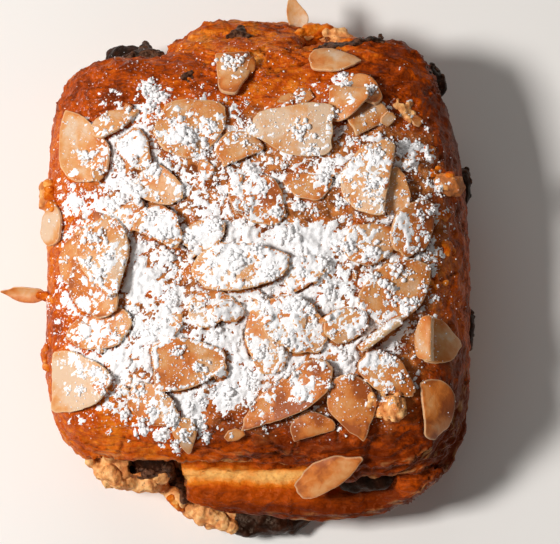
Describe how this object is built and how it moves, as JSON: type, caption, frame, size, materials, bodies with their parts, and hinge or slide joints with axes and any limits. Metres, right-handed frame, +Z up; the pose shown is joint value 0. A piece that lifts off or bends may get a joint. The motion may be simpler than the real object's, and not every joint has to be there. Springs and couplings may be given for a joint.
{
  "type": "almond pain au chocolat",
  "caption": "Rolled laminated pastry with almond cream and chocolate batons showing at its open ends, topped with flaked almonds and icing sugar.",
  "frame": {"origin": "on the flat base, under the middle of the roll", "axes": "+Z up, +Y along the batons to the back end, +X to the right seen from the front end"},
  "size_m": [0.1047, 0.121, 0.0486],
  "materials": {
    "crust": "glossy baked crust, orange-brown, darker on ridges",
    "almond_cream": "baked crumbly cream, tan",
    "chocolate": "dark chocolate, soft gloss",
    "almond": "satin, pale cream to toasted tan",
    "sugar": "icing sugar, white powder"
  },
  "bodies": {
    "root": {"dough": "crust", "almond_cream": "almond_cream", "cream_crumb_front": "almond_cream", "cream_crumb_right": "almond_cream", "cream_crumb_left": "almond_cream", "chocolate_baton_left": "chocolate", "chocolate_baton_right": "chocolate", "chocolate_seep_front": "chocolate", "chocolate_seep_right": "chocolate", "chocolate_seep_side": "chocolate", "chocolate_seep_corner": "chocolate", "almond_flake_01": "almond", "almond_flake_02": "almond", "almond_flake_03": "almond", "almond_flake_04": "almond", "almond_flake_05": "almond", "almond_flake_06": "almond", "almond_flake_07": "almond", "almond_flake_08": "almond", "almond_flake_09": "almond", "almond_flake_10": "almond", "almond_flake_11": "almond", "almond_flake_12": "almond", "almond_flake_13": "almond", "almond_flake_14": "almond", "almond_flake_15": "almond", "almond_flake_16": "almond", "almond_flake_17": "almond", "almond_flake_18": "almond", "almond_flake_19": "almond", "almond_flake_20": "almond", "almond_flake_21": "almond", "almond_flake_22": "almond", "almond_flake_23": "almond", "almond_flake_24": "almond", "almond_flake_25": "almond", "almond_flake_26": "almond", "almond_flake_27": "almond", "almond_flake_28": "almond", "almond_flake_29": "almond", "almond_flake_30": "almond", "almond_flake_31": "almond", "almond_flake_32": "almond", "almond_flake_33": "almond", "almond_flake_34": "almond", "almond_flake_35": "almond", "almond_flake_36": "almond", "almond_flake_37": "almond", "almond_flake_38": "almond", "almond_flake_39": "almond", "almond_flake_40": "almond", "almond_flake_41": "almond", "almond_flake_42": "almond", "almond_flake_43": "almond", "almond_flake_44": "almond", "almond_flake_45": "almond", "almond_flake_46": "almond", "almond_flake_47": "almond", "almond_flake_48": "almond"}
  },
  "joints": []
}
